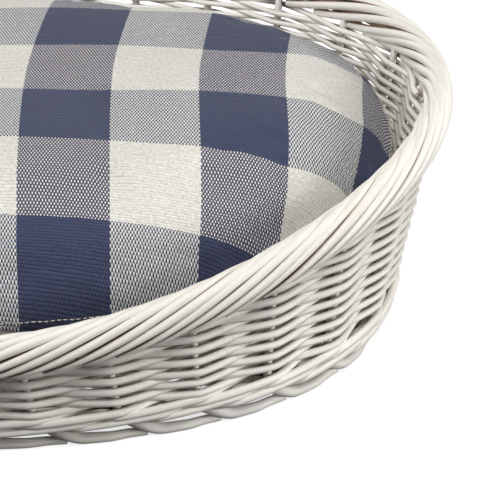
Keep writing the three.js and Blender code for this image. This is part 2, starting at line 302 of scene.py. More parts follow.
# ---------------------------------------------------------------- materials
class Look:
    """Short calls that add nodes to one material."""

    def __init__(self, name):
        self.material = bpy.data.materials.new(name)
        self.material.use_nodes = True
        self.tree = self.material.node_tree
        self.shader = self.tree.nodes["Principled BSDF"]

    def node(self, kind, inputs=(), **settings):
        node = self.tree.nodes.new(kind)
        for key, value in settings.items():
            setattr(node, key, value)
        for key, value in dict(inputs).items():
            self.feed(node.inputs[key], value)
        return node

    def feed(self, socket, value):
        if isinstance(value, bpy.types.NodeSocket):
            self.tree.links.new(value, socket)
        elif isinstance(value, tuple) and socket.type == "RGBA":
            socket.default_value = (*value, 1.0)
        else:
            socket.default_value = value

    def attribute(self, name, output="Fac"):
        return self.node("ShaderNodeAttribute", attribute_name=name).outputs[output]

    def math(self, operation, *values, clamp=False):
        inputs = dict(enumerate(values))
        return self.node("ShaderNodeMath", inputs, operation=operation, use_clamp=clamp).outputs[0]

    def ramp(self, value, low, high):
        inputs = {"Value": value, "From Min": low, "From Max": high}
        return self.node("ShaderNodeMapRange", inputs, interpolation_type="SMOOTHSTEP").outputs[0]

    def scaled(self, vector, scale):
        return self.node("ShaderNodeMapping", {"Vector": vector, "Scale": scale}).outputs[0]

    def noise(self, vector, scale, detail=3.0, rough=0.55):
        inputs = {"Vector": self.scaled(vector, scale), "Scale": 1.0,
                  "Detail": detail, "Roughness": rough}
        return self.node("ShaderNodeTexNoise", inputs).outputs["Fac"]

    def mix(self, factor, a, b, blend="MIX"):
        node = self.node("ShaderNodeMix", data_type="RGBA", blend_type=blend)
        self.feed(node.inputs[0], factor)
        self.feed(node.inputs[6], a)
        self.feed(node.inputs[7], b)
        return node.outputs[2]

    def bump(self, height, distance, strength=1.0):
        inputs = {"Height": height, "Distance": distance, "Strength": strength}
        return self.node("ShaderNodeBump", inputs).outputs[0]

    def grey(self, value):
        return self.node("ShaderNodeCombineColor", {0: value, 1: value, 2: value}).outputs[0]

    def finish(self, color, roughness, normal=None, **constants):
        self.feed(self.shader.inputs["Base Color"], color)
        self.feed(self.shader.inputs["Roughness"], roughness)
        if normal:
            self.feed(self.shader.inputs["Normal"], normal)
        for key, value in constants.items():
            self.shader.inputs[key.replace("_", " ")].default_value = value
        return self.material


PAINT_THIN = (0.74, 0.69, 0.615)
PAINT_WHITE = (0.88, 0.86, 0.81)
PAINT_CLOUD = (0.80, 0.745, 0.665)
PAINT_GREY = (0.83, 0.81, 0.76)
PEELED_WOOD = (0.44, 0.33, 0.235)
BARK_DARK = (0.20, 0.095, 0.042)
BARK_LIGHT = (0.36, 0.215, 0.125)
# Near-black painted shade for the weaving rods' sides that face the stakes, in the slits between rows.
PAINTED_SHADE_DARK = (0.09, 0.075, 0.06)


def willow_look():
    """White wash over peeled willow: long streaks, thin spots, brown where rods meet, and painted shade on
    the weaving rods' sides in the slits.
    """
    look = Look("painted_willow_rods")
    grain = look.attribute("grain", "Vector")
    tone = look.attribute("tone")
    depth = look.attribute("depth")
    streak = look.noise(grain, (22, 520, 520), 5.0, 0.6)
    cloud = look.noise(grain, (14, 45, 45), 2.0)
    fine = look.noise(grain, (90, 1500, 1500), 2.0)
    speck = look.noise(grain, (130, 420, 420), 3.0, 0.7)
    paint = look.mix(look.ramp(streak, 0.3, 0.66), PAINT_THIN, PAINT_WHITE)
    paint = look.mix(look.math("MULTIPLY", look.ramp(cloud, 0.35, 0.75), 0.5), paint, PAINT_CLOUD)
    paint = look.mix(look.math("MULTIPLY", tone, 0.45), paint, PAINT_GREY)
    thin = look.math("MULTIPLY", look.ramp(speck, 0.66, 0.74), look.ramp(cloud, 0.4, 0.6))
    valley = look.math("ADD", depth, look.math("MULTIPLY_ADD", streak, 0.55, -0.28))
    valley = look.ramp(valley, 0.62, 1.0)
    brown = look.mix(fine, BARK_DARK, BARK_LIGHT)
    color = look.mix(look.math("MULTIPLY", thin, 0.55), paint, PEELED_WOOD)
    color = look.mix(valley, color, brown)
    # Painted shade: the weaving rods' sides turned to the stakes go near-black, as the slits lie in shadow.
    color = look.mix(look.attribute("painted_weave_shade"), color, PAINTED_SHADE_DARK)
    height = look.math("ADD", look.math("MULTIPLY", streak, 0.8), look.math("MULTIPLY", fine, 0.35))
    normal = look.bump(height, 0.0005, 0.45)
    roughness = look.math("MULTIPLY_ADD", streak, 0.25, 0.42)
    return look.finish(color, roughness, normal)


# The checks in millimetres: pitches of the threads' dots, size of a check, and where one starts.
CHECK_DOT_PITCH = 2.2
CHECK_ROW_PITCH = 2.2
CHECK_WIDE = 60.4
CHECK_LONG = 67.3
CHECK_U = 39.3
CHECK_V = 43.3
# The cloth lies a little askew: its columns lean, most at the back, and its rows slope.
CHECK_LEAN = 0.073
CHECK_LEAN_SOFT = 40.0
CHECK_SLOPE = 0.055
# Share of the side's slope that its rows take up: the rest is stretched, as in a stuffed cover.
CHECK_EASE = 0.6
CREAM_DARK = (0.66, 0.635, 0.575)
CREAM_LIGHT = (0.80, 0.785, 0.735)
WARP_NAVY_DARK = (0.040, 0.040, 0.086)
WARP_NAVY_LIGHT = (0.068, 0.067, 0.126)
WEFT_NAVY_DARK = (0.010, 0.030, 0.082)
WEFT_NAVY_LIGHT = (0.028, 0.066, 0.160)
THREAD_WOBBLE = 0.5
EDGE_FUZZ = 0.8


def weave_nodes(look, pitch_across, pitch_rows):
    """Fabric coordinates in millimetres, the thread pattern and the rows' ribs."""
    place = look.node("ShaderNodeSeparateXYZ", {"Vector": look.attribute("fabric", "Vector")})
    wobble = look.noise(look.attribute("fabric", "Vector"), (60, 60, 60), 2.0)
    u = look.math("MULTIPLY", place.outputs[0], 1 / MM)
    v = look.math("MULTIPLY_ADD", wobble, THREAD_WOBBLE, look.math("MULTIPLY", place.outputs[1], 1 / MM))
    across = look.math("COSINE", look.math("MULTIPLY", u, 2 * math.pi / pitch_across))
    rows = look.math("COSINE", look.math("MULTIPLY", v, math.pi / pitch_rows))
    dots = look.math("MULTIPLY", across, rows)
    rib = look.math("ABSOLUTE", rows)
    return u, v, dots, rib


def checked_look():
    """Large two-colour checks: ribbed rows of weft dots between the warp threads, with painted shade in the
    grooves between rows.
    """
    look = Look("checked_cotton")
    u, v, dots, rib = weave_nodes(look, CHECK_DOT_PITCH, CHECK_ROW_PITCH)
    fabric = look.attribute("fabric", "Vector")
    slub = look.noise(fabric, (25, 420, 1), 3.0)
    fuzz = look.noise(fabric, (900, 900, 900), 2.0)
    patch = look.noise(fabric, (18, 18, 18), 2.0)
    uneven = look.noise(fabric, (430, 430, 430), 1.0)
    bands = []
    for value, start, width in ((u, CHECK_U, CHECK_WIDE), (v, CHECK_V, CHECK_LONG)):
        edge = look.math("MULTIPLY_ADD", fuzz, EDGE_FUZZ, value)
        turn = look.math("DIVIDE", look.math("SUBTRACT", edge, start + EDGE_FUZZ / 2), width * 2)
        bands.append(look.math("LESS_THAN", look.math("FRACT", turn), 0.5))
    cream = look.mix(slub, CREAM_DARK, CREAM_LIGHT)
    warp = look.mix(bands[0], cream, look.mix(slub, WARP_NAVY_DARK, WARP_NAVY_LIGHT))
    weft = look.mix(bands[1], cream, look.mix(slub, WEFT_NAVY_DARK, WEFT_NAVY_LIGHT))
    thinner = look.math("MULTIPLY_ADD", bands[1], 0.08, dots)
    thinner = look.math("MULTIPLY_ADD", bands[0], -0.14, thinner)
    shown = look.ramp(look.math("MULTIPLY_ADD", fuzz, 0.3, thinner), 0.12, 0.44)
    color = look.mix(shown, warp, weft)
    # Painted shade: the grooves between the ribbed rows are darkened, more in the solid navy checks; the
    # patch and uneven noise below vary the tone at random.
    groove_shade = look.math("SUBTRACT", 1.0, look.ramp(rib, 0.0, 0.55))
    solid_navy = look.math("MULTIPLY", bands[0], bands[1])
    dark = look.math("MULTIPLY", groove_shade, look.math("MULTIPLY_ADD", solid_navy, 0.28, 0.24))
    dark = look.math("SUBTRACT", 1.0, dark)
    dark = look.math("MULTIPLY", dark, look.math("MULTIPLY_ADD", patch, 0.18, 0.91))
    dark = look.math("MULTIPLY", dark, look.math("MULTIPLY_ADD", uneven, 0.62, 0.70))
    color = look.mix(1.0, color, look.grey(dark), "MULTIPLY")
    height = look.math("ADD", look.math("MULTIPLY", rib, 0.6), look.math("MULTIPLY", shown, 0.5))
    height = look.math("MULTIPLY_ADD", fuzz, 0.3, height)
    normal = look.bump(height, 0.0006, 0.8)
    return look.finish(color, 0.88, normal, Sheen_Weight=0.08, Sheen_Roughness=0.5)


def canvas_look(name, light, dark, pitch):
    """Plain ribbed canvas."""
    look = Look(name)
    dots, rib = weave_nodes(look, pitch, pitch)[2:]
    fabric = look.attribute("fabric", "Vector")
    slub = look.noise(fabric, (30, 380, 1), 3.0)
    fuzz = look.noise(fabric, (900, 900, 900), 2.0)
    color = look.mix(slub, dark, light)
    height = look.math("MULTIPLY_ADD", dots, 0.4, rib)
    # Painted shade: the canvas is darker in the low parts between its threads.
    shade = look.math("MULTIPLY_ADD", look.ramp(height, 0.0, 0.7), 0.25, 0.75)
    color = look.mix(1.0, color, look.grey(shade), "MULTIPLY")
    normal = look.bump(look.math("MULTIPLY_ADD", fuzz, 0.3, height), 0.0005, 0.8)
    return look.finish(color, 0.9, normal, Sheen_Weight=0.12)


def metal_look():
    """Dull nickel with fine brushing and darker worn spots."""
    look = Look("dull_nickel")
    where = look.node("ShaderNodeTexCoord").outputs["Object"]
    brush = look.noise(where, (300, 5000, 5000), 3.0)
    spots = look.noise(where, (400, 400, 400), 4.0, 0.7)
    color = look.mix(brush, (0.42, 0.40, 0.36), (0.60, 0.58, 0.54))
    color = look.mix(look.ramp(spots, 0.55, 0.75), color, (0.25, 0.23, 0.20))
    roughness = look.math("MULTIPLY_ADD", spots, 0.3, 0.22)
    return look.finish(color, roughness, look.bump(brush, 0.0002, 0.4), Metallic=1.0)


CANVAS_LIGHT = (0.66, 0.61, 0.52)
CANVAS_DARK = (0.55, 0.50, 0.41)
CANVAS_PITCH = 1.9
TAPE_LIGHT = (0.70, 0.66, 0.57)
TAPE_DARK = (0.60, 0.55, 0.46)
TAPE_PITCH = 1.1

willow = willow_look()
checked = checked_look()
canvas = canvas_look("cream_canvas_cloth", CANVAS_LIGHT, CANVAS_DARK, CANVAS_PITCH)
tape_cloth = canvas_look("zip_tape_cloth", TAPE_LIGHT, TAPE_DARK, TAPE_PITCH)
metal = metal_look()


def willow_piece(piece, name, *replaced):
    piece.build(name, willow, "basket", "painted_willow", replaced)


# ---------------------------------------------------------------- foot border
FOOT_ROD = 4.0
FOOT_TIP = 3.0
FOOT_BACK = -0.04
FOOT_RUN = 1.30
FOOT_TOP = 17.0
FOOT_CLEAR = 0.15
FOOT_INSET = 0.2
FOOT_START_TUCK = 2.6
FOOT_END_TUCK = 2.2

for j in range(STAKE_COUNT):
    run = np.linspace(FOOT_BACK, FOOT_RUN, 30)
    q = j + run
    t = angle_at(q)
    ahead = run * SPACING
    radius = FOOT_ROD + (FOOT_TIP - FOOT_ROD) * smooth(0.35, 1.35, run)
    drop = smooth(-6, 30, ahead)
    z = FOOT_TOP * (1 - drop) + radius * drop + FOOT_CLEAR
    tuck = FOOT_START_TUCK * (1 - smooth(-3, 12, ahead)) + FOOT_END_TUCK * smooth(0.8, 1.15, run)
    inset = radius + FOOT_INSET + tuck
    p = oval(FOOT, t, inset)
    piece = Piece()
    piece.rod(np.column_stack([p, z]), radius * (1 + wander(q, 0.025)), outward_at(t), sides=12,
              end=CUT_END, valley=0.25, slant=0.35)
    willow_piece(piece, f"foot_rod_{j + 1:02d}", "foot_border")

# ---------------------------------------------------------------- upsett: rounds of three-rod waling
WALE_RADIUS = 3.35
WALE_OFFSET = 5.6
WALE_CLIMB = 3.0
WALE_STRANDS = 3
WALE_LEVELS = (upsett_low[2] + 9.6, upsett_low[2] + 16.2)
for level, z0 in enumerate(WALE_LEVELS):
    for strand in range(WALE_STRANDS):
        start = strand * 3.4 + level * 1.7
        q = start + np.linspace(-0.3, STAKE_COUNT + 0.5, STAKE_COUNT * 12)
        # A strand runs in front of two stakes and behind the third, and climbs while it is in front.
        p = (q + strand + 1.5 * level) % 3
        swing = np.clip(1.45 * np.cos(2 * math.pi * (p - 1) / 3) + 0.35, -1, 1)
        climb = 2 * smooth(-0.3, 2.3, np.where(p > 2.65, p - 3, p)) - 1
        climb = np.where((p > 2.3) & (p < 2.7), 1 - 2 * smooth(2.3, 2.7, p), climb)
        z = z0 + WALE_CLIMB * climb + wander(q, 0.35)
        t = angle_at(q)
        radius = WALE_RADIUS * (1 + wander(q, 0.05, 2.0)) * (1 - 0.12 * level)
        piece = Piece()
        piece.rod(wall_point(t, z, WALE_OFFSET * swing + 0.3 * level), radius, outward_at(t), sides=10,
                  start=CUT_END, end=CUT_END, valley=0.3, weave=swing)
        willow_piece(piece, f"upsett_rod_{level * WALE_STRANDS + strand + 1}", "upsett_rows")

# ---------------------------------------------------------------- side weave: randed rows
# The rows get thinner and closer between two heights. Above the dip a row runs only from side to side.
ROW_PITCH = 4.65
ROW_PITCH_HIGH = 3.6
ROW_THINNER = (80, 120)
ROW_FIRST = 5.0
ROW_OFFSET = 5.6
ROW_BUTT = 3.0
ROW_TIP = 2.35
ROW_FLAT = 0.92
ROW_STEPS = 12
ROW_SHORTEST = 6.5
ROW_LONGEST = 10.5
ROW_OVERLAP = 0.33
ROW_START_TUCK = 2.2
ROW_END_LIFT = 0.6
ROW_TUCK_SPREAD = 0.4
ROW_LEAN = 0.32
UNDER_BORDER = 5
side_sections = named("side_weave_")
row_levels = [upsett_high[2] + ROW_FIRST]
while row_levels[-1] < SIDE_HEIGHT - BORDER_HALF_HEIGHT:
    thinner = smooth(*ROW_THINNER, row_levels[-1])
    row_levels.append(row_levels[-1] + ROW_PITCH + (ROW_PITCH_HIGH - ROW_PITCH) * thinner)
search = np.linspace(0, STAKE_COUNT / 2, 800)
lean_q = np.linspace(0, STAKE_COUNT, 2000)

for row, level in enumerate(row_levels):
    size = 1 + (ROW_PITCH_HIGH / ROW_PITCH - 1) * 0.8 * smooth(*ROW_THINNER, level)
    reach = rim_height(angle_at(FRONT + search)) - BORDER_HALF_HEIGHT + UNDER_BORDER
    covered = search[reach < level]
    dip = covered.max() if len(covered) else 0
    low = FRONT + dip
    high = FRONT + STAKE_COUNT - dip
    lean = wander(lean_q, ROW_LEAN)
    piece = Piece()
    place_q = low
    while place_q < high - 0.2:
        stop = np.round(place_q + rng.uniform(ROW_SHORTEST, ROW_LONGEST))
        if (int(stop) + row) % 2 == 0:
            stop += 1
        stop = high if stop > high - 2.5 else stop
        begin = place_q - ROW_OVERLAP if place_q > low else low
        finish = stop + ROW_OVERLAP if stop < high else high
        q = np.linspace(begin, finish, max(6, int((finish - begin) * ROW_STEPS)))
        phase = q + row
        turn = np.cos(math.pi * phase)
        swing = 0.18 * turn + 0.82 * (2 * np.abs((phase % 2) - 1) - 1)
        near_start = np.exp(-((q - begin) / ROW_TUCK_SPREAD) ** 2) if place_q > low else 0
        near_end = np.exp(-((q - finish) / ROW_TUCK_SPREAD) ** 2) if stop < high else 0
        offset = ROW_OFFSET * swing - ROW_START_TUCK * near_start + ROW_END_LIFT * near_end
        share = (q - begin) / (finish - begin)
        radius = ROW_BUTT + (ROW_TIP - ROW_BUTT) * share
        radius = size * radius * (1 + wander(q, 0.03))
        z = level + np.interp(q % STAKE_COUNT, lean_q, lean) + 0.5 * near_start
        t = angle_at(q)
        piece.rod(wall_point(t, z, offset), radius, outward_at(t), sides=8,
                  start=CUT_END, end=CUT_END, flat=ROW_FLAT, weave=swing)
        place_q = stop
    willow_piece(piece, f"side_row_{row + 1:02d}", *(side_sections if row == 0 else ()))

# ---------------------------------------------------------------- side stakes
STAKE_ROD = 2.95
STAKE_TOP_GAP = 8
STAKE_BEND = 9
STAKE_BEND_SHARES = (0.15, 0.35, 0.55, 0.75, 0.9)
STAKE_IN_BASE = (28, 15)
DOWN = np.array([0, 0, -1.0])

for j in range(STAKE_COUNT):
    t = angle_at(np.array([float(j)]))
    corner = wall_point(t, np.array([STICK_LEVEL]))[0]
    top = float(rim_height(t)[0]) - STAKE_TOP_GAP
    inward = -outward_at(t)[0]
    levels = np.linspace(STICK_LEVEL + STAKE_BEND, top, 22)
    upright = wall_point(np.repeat(t, len(levels)), levels)
    bend = [corner + inward * far for far in STAKE_IN_BASE]
    facing = [DOWN, DOWN]
    for share in STAKE_BEND_SHARES:
        bend.append((1 - share) ** 2 * (corner + inward * STAKE_BEND) + 2 * share * (1 - share) * corner
                    + share ** 2 * upright[0])
        facing.append(DOWN * (1 - share) - inward * share)
    path = np.vstack([bend, upright])
    facing = np.vstack([facing, np.tile(-inward, (len(levels), 1))])
    piece = Piece()
    piece.rod(path, np.linspace(STAKE_ROD * 1.06, STAKE_ROD * 0.94, len(path)), facing, sides=10, buried=0.25)
    willow_piece(piece, f"stake_rod_{j + 1:02d}", f"side_stake_{j + 1:02d}")

# ---------------------------------------------------------------- rolled border
BORDER_ROD = 3.1
BORDER_RUN = 3.6
BORDER_FROM = -66
BORDER_TO = 236
BORDER_ANGLE_SPREAD = 3.0
BORDER_WANDER = 2.6
BORDER_THICK_SPREAD = 0.07
CORE_ROD = 5.2


def border_path(q, phi, radius):
    """A helix on the border's oval section, phi round it, with the directions out of it."""
    t = angle_at(q)
    out = BORDER_HALF_WIDTH - radius
    up = BORDER_HALF_HEIGHT - radius
    p = oval(RIM, t, -out * np.cos(phi))
    z = rim_height(t) + up * np.sin(phi)
    away = outward_at(t) * (np.cos(phi) / out)[:, None]
    away[:, 2] = np.sin(phi) / up
    return np.column_stack([p, z]), away / np.linalg.norm(away, axis=1)[:, None]


for j in range(STAKE_COUNT):
    piece = Piece()
    # Three rods start at every other stake, and two at the rest.
    starts = [-0.36, 0.0, 0.36] if j % 2 else [-0.2, 0.2]
    for start in starts:
        run = np.linspace(0, BORDER_RUN, 56)
        q = j + 0.1 + start + run
        phi = np.interp(run / BORDER_RUN, [0, 1], [BORDER_FROM, BORDER_TO])
        phi = phi + rng.normal(0, BORDER_ANGLE_SPREAD)
        phi = np.radians(phi + wander(q, BORDER_WANDER, 1.5))
        thick = BORDER_ROD * np.clip(1 + rng.normal(0, BORDER_THICK_SPREAD), 0.88, 1.12)
        radius = thick * (1 + wander(q, 0.03)) * (0.4 + 0.6 * smooth(-0.1, 0.75, run))
        path, facing = border_path(q, phi, radius)
        piece.rod(path, radius, facing, sides=12, valley=0.95, end=CUT_END)
    willow_piece(piece, f"border_rods_{j + 1:02d}", "rolled_border")

core_q = np.linspace(0, STAKE_COUNT, 361)
core_t = angle_at(core_q)
core_path = np.column_stack([oval(RIM, core_t), rim_height(core_t)])
core = Piece()
core.rod(core_path, CORE_ROD, -DOWN, sides=12, buried=0.9)
willow_piece(core, "border_core")

# ---------------------------------------------------------------- woven base
STICK_STEPS = 24
STICK_TRIM = 2
BASE_ROD = 2.0
BASE_PITCH = 5.0
BASE_HEART = 6
BASE_SWING = 3.9
BASE_GROUPS = 4
BASE_RINGS = int((base_high[1] - BASE_HEART) / BASE_PITCH)
base_outline = (base_high[0], base_high[1], FOOT_POWER)
stick_places = ([], [])
for name in named("base_long_stick_") + named("base_short_stick_"):
    low, high = span(name)
    long_way = 0 if high[0] - low[0] > high[1] - low[1] else 1
    middle = (low + high) / 2
    stick_places[1 - long_way].append(middle[1 - long_way])
    path = np.tile(middle, (STICK_STEPS, 1))
    path[:, long_way] = np.linspace(low[long_way] + STICK_TRIM, high[long_way] - STICK_TRIM, STICK_STEPS)
    half = (high - low)[2] / 2
    piece = Piece()
    piece.rod(path, half * 0.98, DOWN, sides=12, start=CUT_END, end=CUT_END)
    willow_piece(piece, name + "_rod", name)

# Each round goes over one stick and under the next: marks are its crossings with them.
for group in range(BASE_GROUPS):
    piece = Piece()
    for ring in range(group, BASE_RINGS, BASE_GROUPS):
        inset = BASE_ROD + ring * BASE_PITCH
        t = np.linspace(-math.pi, math.pi, 361)
        xy = oval(base_outline, t, inset)
        far = np.concatenate([[0], np.cumsum(np.hypot(*np.diff(xy, axis=0).T))])
        marks = []
        for axis in (0, 1):
            for line in stick_places[axis]:
                gap = xy[:, axis] - line
                for i in np.nonzero(gap[:-1] * gap[1:] < 0)[0]:
                    marks.append(far[i])
        marks = np.sort(np.array(marks))
        if len(marks) < 4:
            continue
        turns = np.interp(far, np.concatenate([[marks[-1] - far[-1]], marks, [marks[0] + far[-1]]]),
                          np.arange(-1, len(marks) + 1))
        z = STICK_LEVEL + BASE_SWING * np.cos(math.pi * (turns + ring))
        piece.rod(np.column_stack([xy, z]), BASE_ROD, DOWN, flat=1.1)
    willow_piece(piece, f"base_round_{group + 1}", *(["base_weave"] if group == 0 else []))

# ---------------------------------------------------------------- cushion
CUSHION_POWER = 2.3
CUSHION = (cover_high[0], cover_high[1], CUSHION_POWER)
CUSHION_TOP = cover_high[2]
CUSHION_LOW = under_low[2]
CUSHION_SEAM = cover_low[2] - 5.3
SEAM_LIFT = under_high[2] - CUSHION_SEAM
SEAM_LIFT_AT = 0.12
SEAM_LIFT_SPREAD = 0.5
CROWN_SIDE = 3.9
CROWN_FLAT = 4.8
BOTTOM_FLAT = 0.84
# The cover starts a little small, and air pressure fills it out as cloth.
SHRINK = 2.0
SHRINK_TOP = 5.5
VOXEL = 5.0
PRESSURE = 4.0
PRESSURE_FRAMES = 20
LONGEST_MOVE = 6.0
HELD_NEAR_SEAM = 3.0
# What the cloth alone doesn't give: slack, puckers along the seam, and where the wall lets it bulge.
SLACK_UP = 1.0
SLACK_OUT = 0.9
PUCKER = 0.55
PUCKER_COUNT = 64
SEAM_VALLEY = 2.4
BULGE = 4.5
BULGE_AT = 0.1
BULGE_HEIGHT = 104
TOP_SPARE = 1.5


def plan_reach(theta, outline=CUSHION):
    """Distance from the middle to the cushion's outline."""
    a, b, n = outline
    return (np.abs(np.cos(theta) / a) ** n + np.abs(np.sin(theta) / b) ** n) ** (-1 / n)


def seam_height(theta):
    """The seam runs level, but rides up at both ends, where the cushion presses on the wall."""
    from_end = np.abs(np.arctan2(np.sin(theta), np.abs(np.cos(theta))) - SEAM_LIFT_AT)
    return CUSHION_SEAM + SEAM_LIFT * np.exp(-((from_end / SEAM_LIFT_SPREAD) ** 2))


def cushion_profile(theta, steps=28):
    """Radius shares (n), and heights (n, directions), from the crown's middle to the bottom's."""
    seam = seam_height(theta)
    rise = np.linspace(math.pi / 2, 0, steps)
    crown = np.cos(rise) ** (2 / CROWN_SIDE)
    crown[0] = 0
    crown_z = seam + (CUSHION_TOP - seam) * (np.sin(rise) ** (2 / CROWN_FLAT))[:, None]
    fall = np.linspace(math.pi / 2, 0, steps // 2)[1:]
    under = BOTTOM_FLAT + (1 - BOTTOM_FLAT) * np.sin(fall)
    under_z = CUSHION_LOW + (seam - CUSHION_LOW) * (1 - np.cos(fall))[:, None]
    bottom = BOTTOM_FLAT * np.linspace(1, 0, steps // 2)[1:]
    bottom_z = np.full((len(bottom), len(seam)), CUSHION_LOW)
    return np.concatenate([crown, under, bottom]), np.vstack([crown_z, under_z, bottom_z])


def cushion_body():
    """The closed cover before it is filled out."""
    theta = np.linspace(-math.pi, math.pi, 181)[:-1]
    share, height = cushion_profile(theta)
    lower = (CUSHION_TOP - SHRINK_TOP - CUSHION_LOW) / (CUSHION_TOP - CUSHION_LOW)
    reach = plan_reach(theta, (CUSHION[0] - SHRINK, CUSHION[1] - SHRINK, CUSHION[2]))
    x = share[1:-1, None] * reach * np.cos(theta)
    y = share[1:-1, None] * reach * np.sin(theta)
    z = CUSHION_LOW + (height[1:-1] - CUSHION_LOW) * lower
    points = np.vstack([np.stack([x, y, z], -1).reshape(-1, 3),
                        [0, 0, CUSHION_TOP - SHRINK_TOP], [0, 0, CUSHION_LOW]])
    n, m = x.shape
    faces = []
    for i in range(n - 1):
        for k in range(m):
            k2 = (k + 1) % m
            faces.append([i * m + k, (i + 1) * m + k, (i + 1) * m + k2, i * m + k2])
    for k in range(m):
        k2 = (k + 1) % m
        faces.append([n * m, k, k2])
        faces.append([n * m + 1, (n - 1) * m + k2, (n - 1) * m + k])
    mesh = bpy.data.meshes.new("cushion_body")
    mesh.from_pydata((points * MM).tolist(), [], faces)
    mesh.update()
    return mesh


def applied(piece, kind, **settings):
    """Adds one modifier and makes its result the piece's own mesh."""
    modifier = piece.modifiers.new(kind.title(), kind)
    for key, value in settings.items():
        setattr(modifier, key, value)
    evaluated = piece.evaluated_get(bpy.context.evaluated_depsgraph_get())
    mesh = bpy.data.meshes.new_from_object(evaluated)
    piece.modifiers.clear()
    piece.data = mesh
    return piece


def coordinates(mesh):
    co = np.empty(len(mesh.vertices) * 3, np.float32)
    mesh.vertices.foreach_get("co", co)
    return co.reshape(-1, 3).astype(float) / MM


def set_coordinates(mesh, co):
    mesh.vertices.foreach_set("co", (co * MM).astype(np.float32).ravel())
    mesh.update()


def puff(piece):
    """Blows the closed cover up a little as cloth, held in along the seam."""
    before = coordinates(piece.data)
    theta = np.arctan2(before[:, 1], before[:, 0])
    off_seam = np.abs(before[:, 2] - seam_height(theta))
    edge = np.hypot(before[:, 0], before[:, 1]) / plan_reach(theta) > 0.9
    held = piece.vertex_groups.new(name="held")
    held.add(np.nonzero((off_seam < HELD_NEAR_SEAM) & edge)[0].tolist(), 1.0, "REPLACE")
    cloth = piece.modifiers.new("Cloth", "CLOTH")
    settings = cloth.settings
    settings.quality = 4
    settings.mass = 0.35
    settings.tension_stiffness = 12
    settings.compression_stiffness = 12
    settings.shear_stiffness = 6
    settings.bending_stiffness = 1.2
    settings.use_pressure = True
    settings.uniform_pressure_force = PRESSURE
    settings.vertex_group_mass = "held"
    settings.effector_weights.gravity = 0
    cloth.collision_settings.use_collision = False
    cloth.collision_settings.use_self_collision = False
    scene = bpy.context.scene
    for step in range(1, PRESSURE_FRAMES + 1):
        scene.frame_set(step)
    evaluated = piece.evaluated_get(bpy.context.evaluated_depsgraph_get())
    mesh = bpy.data.meshes.new_from_object(evaluated)
    piece.modifiers.clear()
    after = coordinates(mesh)
    move = after - before
    size = np.linalg.norm(move, axis=1)[:, None]
    move *= np.minimum(1, LONGEST_MOVE / np.maximum(size, 1e-6))
    set_coordinates(mesh, before + move)
    piece.data = mesh
    piece.vertex_groups.clear()
    scene.frame_set(1)


def soften(co):
    """Adds slack, the seam's valley and puckers, and keeps to the space that the cushion lies in."""
    theta = np.arctan2(co[:, 1], co[:, 0])
    reach = plan_reach(theta)
    share = np.hypot(co[:, 0], co[:, 1]) / reach
    away = np.column_stack([np.cos(theta), np.sin(theta), np.zeros(len(co))])
    upward = smooth(0.995, 0.75, share)
    slack = (np.sin(co[:, 0] / 47 + 1.1 * np.sin(co[:, 1] / 61)) * np.sin(co[:, 1] / 39 + 0.7)
             + 0.6 * np.sin(co[:, 0] / 23 + co[:, 1] / 31 + 2.0))
    above = smooth(CUSHION_SEAM - 5, CUSHION_SEAM + 40, co[:, 2])
    co = co.copy()
    co[:, 2] += SLACK_UP * slack * above * upward
    co += away * (SLACK_OUT * slack * above * (1 - upward))[:, None]
    off = co[:, 2] - seam_height(theta)
    edge = smooth(0.86, 0.95, share)
    pucker = np.sin(theta * PUCKER_COUNT + 1.7 * np.sin(theta * 9)) * np.exp(-(off / 13) ** 2)
    valley = np.exp(-(off / 3.2) ** 2)
    co += away * (edge * (PUCKER * pucker - SEAM_VALLEY * valley))[:, None]
    from_bulge = ((theta - BULGE_AT) / 0.45) ** 2 + ((co[:, 2] - BULGE_HEIGHT) / 30) ** 2
    co += away * (BULGE * np.exp(-from_bulge) * edge)[:, None]
    co[:, 2] = np.clip(co[:, 2], CUSHION_LOW, CUSHION_TOP + TOP_SPARE)
    return co


def fabric_coordinates(co, top):
    """Place on the flat cloth in metres: the plan place, moved out by what the slope takes up."""
    theta = np.arctan2(co[:, 1], co[:, 0])
    share, height = cushion_profile(theta)
    if not top:
        share, height = share[::-1], height[::-1]
    reach = plan_reach(theta)
    r = np.hypot(co[:, 0], co[:, 1])
    best = np.full(len(co), 1e18)
    along = np.zeros(len(co))
    so_far = np.zeros(len(co))
    for s0, s1, z0, z1 in zip(share[:-1], share[1:], height[:-1], height[1:]):
        dx, dz = (s1 - s0) * reach, z1 - z0
        length = np.hypot(dx, dz)
        part = ((r - s0 * reach) * dx + (co[:, 2] - z0) * dz) / np.maximum(length, 1e-6) ** 2
        part = np.clip(part, 0, 1)
        miss = (s0 * reach + part * dx - r) ** 2 + (z0 + part * dz - co[:, 2]) ** 2
        closer = miss < best
        best = np.where(closer, miss, best)
        along = np.where(closer, so_far + part * length, along)
        so_far = so_far + length
    a, b, n = CUSHION
    down = np.column_stack([np.sign(co[:, 0]) * np.abs(np.cos(theta) / a) ** (n - 1) / a,
                            np.sign(co[:, 1]) * np.abs(np.sin(theta) / b) ** (n - 1) / b])
    down /= np.linalg.norm(down, axis=1)[:, None]
    down[:, 0] *= np.abs(down[:, 0])
    excess = along - r
    u = co[:, 0] + down[:, 0] * excess
    v = co[:, 1] + down[:, 1] * excess * CHECK_EASE
    lean = CHECK_LEAN * (v + np.hypot(v, CHECK_LEAN_SOFT))
    return np.column_stack([u - lean, v + CHECK_SLOPE * u, np.zeros(len(co))]) * MM


def cut(bm, point, normal, **sides):
    """Cuts a mesh along a plane. The point is in millimetres."""
    bmesh.ops.bisect_plane(bm, geom=bm.verts[:] + bm.edges[:] + bm.faces[:], dist=1e-7,
                           plane_co=tuple(p * MM for p in point), plane_no=normal, **sides)


